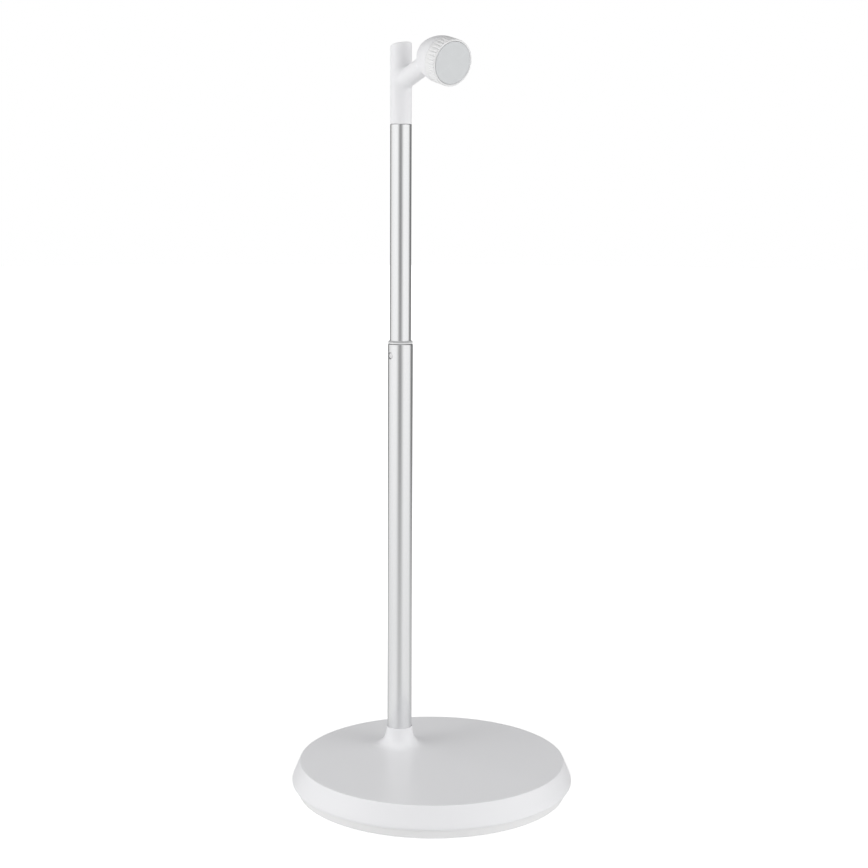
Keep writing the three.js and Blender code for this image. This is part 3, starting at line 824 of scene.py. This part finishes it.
def polygon_field(polygon):
    """Tabulated signed distance to a profile, negative inside, as a function of (r, t)."""
    low, high = FIELD_DEPTHS
    rs = np.arange(0, FIELD_R_MAX + FIELD_STEP, FIELD_STEP)
    ts = np.arange(low, high + FIELD_STEP, FIELD_STEP)
    R, T = np.meshgrid(rs, ts, indexing="ij")
    best = np.full(R.shape, 1e9)
    inside = np.zeros(R.shape, bool)
    for i in range(len(polygon)):
        a = np.array(polygon[i], float)
        b = np.array(polygon[(i + 1) % len(polygon)], float)
        e = b - a
        if not (a[0] < 1e-6 and b[0] < 1e-6):  # the axis isn't a wall
            u = np.clip(((R - a[0]) * e[0] + (T - a[1]) * e[1]) / (e @ e), 0, 1)
            best = np.minimum(best, np.hypot(R - a[0] - u * e[0], T - a[1] - u * e[1]))
        spans = (a[1] > T) != (b[1] > T)
        with np.errstate(divide="ignore", invalid="ignore"):
            crossing = a[0] + (T - a[1]) / (b[1] - a[1]) * e[0]
        inside ^= spans & (R < crossing)
    d = np.where(inside, -best, best)

    def field(r, t):
        fr = np.clip(r / FIELD_STEP, 0, len(rs) - 1.001)
        ft = np.clip((t - low) / FIELD_STEP, 0, len(ts) - 1.001)
        i, j = fr.astype(int), ft.astype(int)
        x, y = fr - i, ft - j
        near = d[i, j] * (1 - x) * (1 - y) + d[i + 1, j] * x * (1 - y)
        value = near + d[i, j + 1] * (1 - x) * y + d[i + 1, j + 1] * x * y
        over = np.maximum(r - rs[-1], 0) + np.maximum(low - t, 0) + np.maximum(t - ts[-1], 0)
        return value + over

    return field


bowl_field = polygon_field(BOWL)
cavity_field = polygon_field(CAVITY)


def along_and_off(X, Y, Z, y0, z0, dir_y, dir_z):
    """Distance along an axis in the plane x = 0, and distance off it."""
    py, pz = Y - y0, Z - z0
    along = py * dir_y + pz * dir_z
    return along, np.sqrt(np.maximum(X**2 + py**2 + pz**2 - along**2, 0))


def cap_field(X, Y, Z):
    pole_r = np.hypot(X, Y - POLE_Y)
    top = (Y - POLE_Y) * math.sin(STUB_TOP_TILT) + (Z - STUB_TOP) * math.cos(STUB_TOP_TILT)
    stub = smax(pole_r - UPPER_OUT, top, 1.1)
    stub = smax(stub, STUB_FOOT - Z, 0.5)
    along, off = along_and_off(
        X, Y, Z, POLE_Y, ARM_START_Z, -math.cos(ARM_RISE), math.sin(ARM_RISE))
    arm = np.maximum(off - ARM_R, np.maximum(-along, along - ARM_LENGTH))
    t, r = along_and_off(X, Y, Z, FACE[1], FACE[2], BACK[1], BACK[2])
    d = smin(stub, arm, 2.6)
    d = smin(d, bowl_field(r, t), 3.4)
    d = smax(d, -cavity_field(r, t), 0.4)
    post = np.maximum(r - POST_R, np.maximum(POST_DEPTHS[0] - t, t - POST_DEPTHS[1]))
    d = np.minimum(d, post)
    hole = np.maximum(r - POST_HOLE_R, t - POST_HOLE_DEPTHS[1])
    d = np.maximum(d, -np.maximum(hole, POST_HOLE_DEPTHS[0] - t))
    spigot = np.maximum(pole_r - INSERT_R, np.maximum(SPIGOT_FOOT - Z, Z - SPIGOT_TOP))
    return np.minimum(d, smax(spigot, SPIGOT_FOOT - Z, 1.5))


def branch_cap():
    h = CAP_CELL
    counts = np.ceil((CAP_HIGH - CAP_LOW) / h).astype(int) + 1
    axes = [CAP_LOW[i] + h * np.arange(counts[i]) for i in range(3)]
    d = cap_field(*np.meshgrid(*axes, indexing="ij"))
    grid = vdb.FloatGrid(3 * h)
    grid.copyFromArray(np.clip(d, -3 * h, 3 * h))
    points, quads = grid.convertToQuads(isovalue=0.0)
    points = CAP_LOW + points.astype(float) * h
    e = 0.02  # half step of the slopes
    for _ in range(3):
        x, y, z = points[:, 0], points[:, 1], points[:, 2]
        slopes = [
            cap_field(x + e, y, z) - cap_field(x - e, y, z),
            cap_field(x, y + e, z) - cap_field(x, y - e, z),
            cap_field(x, y, z + e) - cap_field(x, y, z - e),
        ]
        gradient = np.stack(slopes, 1) / (2 * e)
        length = np.maximum(np.linalg.norm(gradient, axis=1), 0.3)
        step = np.clip(cap_field(x, y, z) / length, -0.25, 0.25)
        points = points - gradient / length[:, None] * step[:, None]
    faces = [tuple(int(i) for i in quad) for quad in quads]
    ob = finish_mesh("branch_cap_moulded", points, faces, 48)
    put(ob, "cap_white", "upper_pole", "branch_cap")


# ------------------------------------------------------------------ grip ring and face
GRIP_R = 17.03
GRIP_RIBS, STEPS_PER_RIB = 36, 14
GROOVE_DEPTH, GROOVE_HALF_WIDTH = 1.0, 0.36  # mm, and share of a rib's pitch
GROOVE_START, GROOVE_LENGTH = 1.15, 8.4  # deepest point behind the face, and run-out

# radius, depth behind the face: inside, then the front lip with corner radii
GRIP_INSIDE = [
    (14.6, 10.5), (14.6, 7.75), (15.15, 7.2), (15.15, 5.7), (14.6, 5.1), (14.6, 4.75),
    (14.7, 4.65), (15.46, 4.65), (15.5, 4.6), (15.5, 0.4), (15.52, 0.2),
]
GRIP_LIP = [(15.52, 0.2, 0), (15.66, 0.1, 0.07), (16.5, 0.1, 0.16), (16.84, 0.44, 0)]
# radius, depth behind the face, share of the groove's depth
GROOVE_ENTRY = [
    (16.94, 0.54, 0.1), (17.0, 0.62, 0.4), (GRIP_R, 0.74, 0.7), (GRIP_R, 0.9, 0.92),
    (GRIP_R, GROOVE_START, 1.0),
]
GRIP_REAR = [(17.02, 10.2), (17.02, 10.6), (16.94, 10.68), (14.8, 10.68)]


def grip_ring():
    seg = GRIP_RIBS * STEPS_PER_RIB
    theta = np.arange(seg) * 2 * np.pi / seg
    # 1 in the middle of a groove, 0 on a rib
    phase = (theta * GRIP_RIBS / (2 * np.pi)) % 1.0
    groove = np.clip(1 - np.abs(phase - 0.5) / GROOVE_HALF_WIDTH, 0, 1)
    groove = groove * groove * (3 - 2 * groove)

    def row(radius, t, depth=0.0):
        r = radius - depth * groove
        return to_head(np.stack([r * np.cos(theta), r * np.sin(theta), np.full(seg, t)], 1))

    rows = [row(r, t) for r, t in GRIP_INSIDE + rounded(GRIP_LIP, steps=4)[1:]]
    rows += [row(r, t, GROOVE_DEPTH * share) for r, t, share in GROOVE_ENTRY]
    for i in range(1, 15):
        u = i / 14
        depth = GROOVE_DEPTH * (1 - u) ** 0.9
        rows.append(row(GRIP_R, GROOVE_START + GROOVE_LENGTH * u, depth))
    rows += [row(r, t) for r, t in GRIP_REAR]
    verts, faces = loft(rows, True)
    ob = finish_mesh("grip_ring_moulded", verts, faces, 50)
    put(ob, "cap_white", "lock_ring", "grip_ring", finish="grip_white")


FACE_R = 15.29
FACE_DISC = [
    (0, 0), (4, 0), (8, 0), (12, 0), (14.6, 0),
    *rounded([(14.6, 0, 0), (FACE_R, 0, 0.16), (FACE_R, 0.6, 0)], steps=6)[1:-1],
    (FACE_R, 1.7), (15.18, 1.9), (10, 1.9), (0, 1.9),
]


def face_disc():
    ob = revolve("face_disc_moulded", FACE_DISC, 192, place=to_head, sharp=50)
    put(ob, "face_grey", "puck", "face_disc")


# ------------------------------------------------------------------ inside the head
PUCK_CARRIER = [
    (1.9, 10.4), (3.9, 10.4), (3.9, 8.1), (10.5, 8.1), (10.5, 2.0), (15.1, 2.0), (15.1, 2.9),
    (12.05, 2.9), (12.05, 12.4), (1.9, 12.4),
]
MAGNET_CUP = [(9.2, 7.0, 0.3), (9.2, 2.2, 0.1), (10.2, 2.2, 0.1), (10.2, 8.0, 0.7)]
MAGNET = [
    (0, 2.4), (8.7, 2.4), (8.92, 2.48), (9.0, 2.7), (9.0, 6.6), (8.92, 6.82), (8.7, 6.9),
    (0, 6.9),
]
WAVE_WASHER = [(1.9, 12.6), (4.8, 12.6), (4.8, 13.2), (1.9, 13.2)]
SWIVEL_SCREW = [
    (0, 8.3), (1.6, 8.34), (2.6, 8.6), (3.2, 9.1), (3.3, 9.6), (3.3, 10.2), (3.2, 10.3),
    (1.6, 10.3), (1.5, 10.45), (1.5, 13.4),
    *thread(start=13.6, end=22.8, pitch=0.8, root=1.2, crest=1.5, rises=(0, 0.2, 0.45, 0.52)),
    (1.5, 23.3), (0.8, 24.1), (0, 24.2),
]
# object, profile, segments, sharp angle, slot, body, CAD node
HEAD_PIECES = [
    ("puck_carrier_moulded", rounded([(r, t, 0.18) for r, t in PUCK_CARRIER], steps=3),
     96, 32, "guide_plastic", "puck", "puck_carrier"),
    ("magnet_cup_pressed", [(0, 7.0), *rounded(MAGNET_CUP, steps=4), (0, 8.0)],
     96, 32, "hardware_steel", "puck", "magnet_cup"),
    ("magnet_disc", MAGNET, 96, 32, "magnet_nickel", "puck", "magnet"),
    ("wave_washer_pressed", rounded([(r, t, 0.12) for r, t in WAVE_WASHER], steps=3),
     64, 32, "spring_steel", "upper_pole", "wave_washer"),
    ("swivel_screw_turned", SWIVEL_SCREW, 40, 28, "hardware_steel", "upper_pole",
     "swivel_screw"),
]


def head_pieces():
    for name, profile, seg, sharp, slot, body, node in HEAD_PIECES:
        put(revolve(name, profile, seg, place=to_head, sharp=sharp), slot, body, node)


# ------------------------------------------------------------------ foot of the pole
# radius, height, corner radius
PLUG = [
    (4.1, 16.4, 0.3), (8.4, 16.4, 0.2), (8.4, 38, 0.2), (7.6, 39, 0.2), (4.1, 39, 0.4),
]
WASHER = [(4.3, 10.2, 0.1), (10.5, 10.2, 0.35), (10.5, 11.4, 0.1), (4.3, 11.4, 0.1)]
BOLT = [
    (0, 3.9), (5.4, 3.9), (6.05, 4.1), (6.4, 4.7), (6.4, 8.1), (6.3, 8.2), (4.15, 8.2),
    (4.0, 8.35), (4.0, 17.5),
    *thread(start=17.6, end=32.6, pitch=1.25, root=3.45, crest=4.0, rises=(0.3, 0.5, 0.95, 1.1)),
    (3.9, 33.3), (3.2, 34), (0, 34),
]
BOLT_SOCKET_R = 3.3


def pole_fixings():
    """Plug in the tube's foot, hex socket bolt from below and its washer."""
    plug = revolve("pole_plug_turned", rounded(PLUG, steps=3), 96, POLE)
    put(plug, "hardware_steel", "base", "pole_plug")
    bolt = revolve("pole_bolt_turned", BOLT, 64, POLE, sharp=28)
    socket = rod("hex", (*POLE, 1.0), (*POLE, 7.0), BOLT_SOCKET_R, 6)
    bolt = boolean(bolt, socket)
    tidy(bolt, 28)
    put(bolt, "hardware_steel", "base", "pole_bolt")
    washer = revolve("pole_washer_punched", rounded(WASHER, steps=4), 96, POLE)
    put(washer, "hardware_steel", "base", "pole_washer")


def finish_cad(node, finish, width):
    """A CAD solid that keeps its shape gets broken edges and a finish."""
    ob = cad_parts[node]
    ob.data.materials.clear()
    ob.data.materials.append(FINISH[finish].material)
    bevel = ob.modifiers.new("edge", "BEVEL")
    bevel.width = width * MM
    bevel.segments = 2
    bevel.limit_method = "ANGLE"
    bevel.angle_limit = rad(35)
    bevel.use_clamp_overlap = True


# ------------------------------------------------------------------ floor
FLOOR_Z = -0.12
FLOOR_RADII = (60, 120, 180, 260, 400, 700, 1200, 2400, 6000)


def floor_material():
    """Pale floor that glows towards the camera, more so farther out. Clear from below."""
    m = Material("pale_floor")
    clouds = m.noise(scale=14.0, detail=4.0)
    tone = m.mix(clouds, (0.80, 0.80, 0.80), (0.83, 0.83, 0.83))
    distance = m.node("VectorMath", {0: m.here}, operation="LENGTH").outputs["Value"]
    seen_glow = m.remap(distance, span=(0.13, 0.5), to=(0.62, 1.0))
    unseen_glow = 0.26
    camera_ray = m.node("LightPath").outputs["Is Camera Ray"]
    glow = m.plus(m.times(camera_ray, m.minus(seen_glow, unseen_glow)), unseen_glow)
    m.set(Base_Color=tone, Roughness=0.9, Specular_IOR_Level=0.1,
          Emission_Color=(1, 1, 1), Emission_Strength=glow)
    from_below = m.node("NewGeometry").outputs["Backfacing"]
    clear = m.node("BsdfTransparent").outputs[0]
    surface = m.node("MixShader", {0: from_below, 1: m.shader.outputs[0], 2: clear})
    m.feed(m.out.inputs["Surface"], surface.outputs[0])
    return m.material


def floor():
    mesh = bpy.data.meshes.new("floor")
    rows = [np.array([0, 0, FLOOR_Z])] + [ring(0, 0, r, FLOOR_Z, 160) for r in FLOOR_RADII]
    verts, faces = loft(rows, False)
    facing_up = [tuple(face)[::-1] for face in faces]
    mesh.from_pydata([tuple(c * MM for c in v) for v in verts], [], facing_up)
    ob = link_object("floor", mesh)
    ob.visible_glossy = False
    mesh.materials.append(floor_material())


# ------------------------------------------------------------------ world
# degrees from the camera's side (negative is picture left), brightness
ROOM = [
    (-180, 0.20), (-134, 0.19), (-124, 0.70), (-98, 0.89), (-60, 0.98), (-36, 0.96),
    (-25, 0.76), (-14, 0.35), (-4, 0.255), (6, 0.275), (16, 0.56), (29, 0.92), (42, 0.97),
    (84, 0.94), (101, 0.82), (112, 0.24), (130, 0.17), (180, 0.18),
]
LOW_ROOM = 0.78  # flat brightness that low mirror-like rays fade towards
MIRROR_GAIN, DIFFUSE_GAIN = 1.38, 1.98


def studio_world():
    """White to the camera; a room of soft bright and dark sides to every other ray."""
    world = bpy.data.worlds.new("studio")
    bpy.context.scene.world = world
    world.use_nodes = True
    sky = Nodes(world.node_tree)
    direction = sky.node("TexCoord").outputs["Generated"]
    x, y, z = sky.node("SeparateXYZ", {0: direction}).outputs

    # turn of a ray about Z, 0.5 at the camera's side
    azimuth = sky.calc("ARCTAN2", x, sky.times(y, -1.0))
    turns = sky.calc("DIVIDE", sky.minus(azimuth, CAM_AZ), 2 * math.pi)
    turn = sky.calc("FRACT", sky.plus(turns, 0.5))
    ramp = sky.node("ValToRGB", {0: turn})
    stops = ramp.color_ramp.elements
    stops[0].color = (ROOM[0][1],) * 3 + (1,)
    stops[1].color = (ROOM[-1][1],) * 3 + (1,)
    for degrees, brightness in ROOM[1:-1]:
        stops.new(0.5 + degrees / 360.0).color = (brightness,) * 3 + (1,)
    room = ramp.outputs[0]

    # mirror-like rays see a brighter ceiling, and a flatter room low down
    overhead = sky.remap(z, span=(0.55, 0.9), to=(1.0, 1.3), smooth=True)
    low = sky.remap(z, span=(-0.13, -0.29), to=(0.0, 0.66), smooth=True)
    height = sky.remap(z, span=(-0.30, 0.02), to=(0.92, 1.0))
    flat = sky.plus(sky.times(room, sky.minus(1.0, low)), sky.times(low, LOW_ROOM))
    mirror = sky.times(sky.times(flat, overhead), sky.times(height, MIRROR_GAIN))

    # soft light is darker overhead, and weaker from the camera's side than from elsewhere
    up_fade = sky.remap(z, span=(0.12, 0.85), to=(1.0, 0.16), smooth=True)
    off_camera = sky.calc("ABSOLUTE", sky.minus(turn, 0.5))
    aside = sky.remap(off_camera, span=(0.03, 0.15), to=(0.68, 1.0), smooth=True)
    diffuse = sky.times(sky.times(sky.times(room, up_fade), aside), DIFFUSE_GAIN)

    path = sky.node("LightPath")
    glossy = path.outputs["Is Glossy Ray"]
    level = sky.plus(sky.times(mirror, glossy), sky.times(diffuse, sky.minus(1.0, glossy)))
    light = sky.node("Background", {"Strength": level}).outputs[0]
    seen = sky.node("Background", {"Color": (1, 1, 1), "Strength": 1.0}).outputs[0]
    both = sky.node("MixShader", {0: path.outputs["Is Camera Ray"], 1: light, 2: seen})
    sky.node("OutputWorld", {"Surface": both.outputs[0]})


# ------------------------------------------------------------------ lights and camera (metres)
def soft_light(name, right, back, up, size, power, look=(0, 0, 0)):
    """Disk light, placed to the camera's right, towards the camera and up."""
    light = bpy.data.lights.new(name, "AREA")
    light.shape = "DISK"
    light.size = size
    light.energy = power
    ob = bpy.data.objects.new(name, light)
    ob.location = CAM_RIGHT * right + CAM_BACK * back + Vector((0, 0, up))
    ob.rotation_euler = (Vector(look) - ob.location).to_track_quat("-Z", "Y").to_euler()
    ob.visible_glossy = False
    ob.visible_camera = False
    bpy.context.scene.collection.objects.link(ob)
    return ob


def lights(base_pieces):
    middle, head = (0, 0, 0.28), (0, 0, 0.54)
    soft_light("key_left", right=-1.75, back=0.5, up=0.7, size=1.2, power=6.4, look=middle)
    soft_light("fill_right", right=1.72, back=0.75, up=0.6, size=1.2, power=9.3, look=middle)
    soft_light("head_left", right=-0.8, back=0.45, up=0.62, size=0.4, power=0.72, look=head)
    over_base = soft_light("over_base", right=0.0, back=0.0, up=1.2, size=3.6, power=11.5)
    lit = bpy.data.collections.new("lit_from_above")
    for ob in base_pieces:
        lit.objects.link(ob)
    over_base.light_linking.receiver_collection = lit
    soft_light("top", right=0.0, back=0.0, up=1.9, size=2.4, power=4.5)


def camera():
    distance, height, shift_y = 1.3255, 0.4922, 0.003
    pitch, yaw, roll = 0.1609, 0.0016, 0.0055  # radians: down, to the right, about the view
    data = bpy.data.cameras.new("camera")
    data.sensor_width = 36.0
    data.sensor_fit = "HORIZONTAL"
    data.lens = 74.4
    data.clip_start = 0.01
    data.clip_end = 50
    ob = link_object("camera", data)
    ob.location = (
        distance * math.sin(CAM_AZ), -distance * math.cos(CAM_AZ) + shift_y, height)
    forward = (
        CAM_RIGHT * (math.sin(yaw) * math.cos(pitch))
        - CAM_BACK * (math.cos(yaw) * math.cos(pitch))
        - Vector((0, 0, math.sin(pitch)))
    )
    aim = forward.to_track_quat("-Z", "Y").to_matrix()
    ob.rotation_euler = (aim @ Matrix.Rotation(roll, 3, "Z")).to_euler()
    bpy.context.scene.camera = ob


# ------------------------------------------------------------------ build
cover = base_cover()
tray = base_tray()
foot_ring()
base_screws()
tubes()
end_ring()
guide_bush()
snap_button()
leaf_spring()
branch_cap()
grip_ring()
face_disc()
head_pieces()
pole_fixings()
finish_cad("base_weight", "ballast_iron", width=0.6)
finish_cad("lock_washer", "hardware_steel", width=0.12)

floor()
studio_world()
lights([cover, tray])
camera()

view = bpy.context.scene.view_settings
view.view_transform = "Standard"
view.look = "None"
view.exposure = 0.0
view.gamma = 1.0
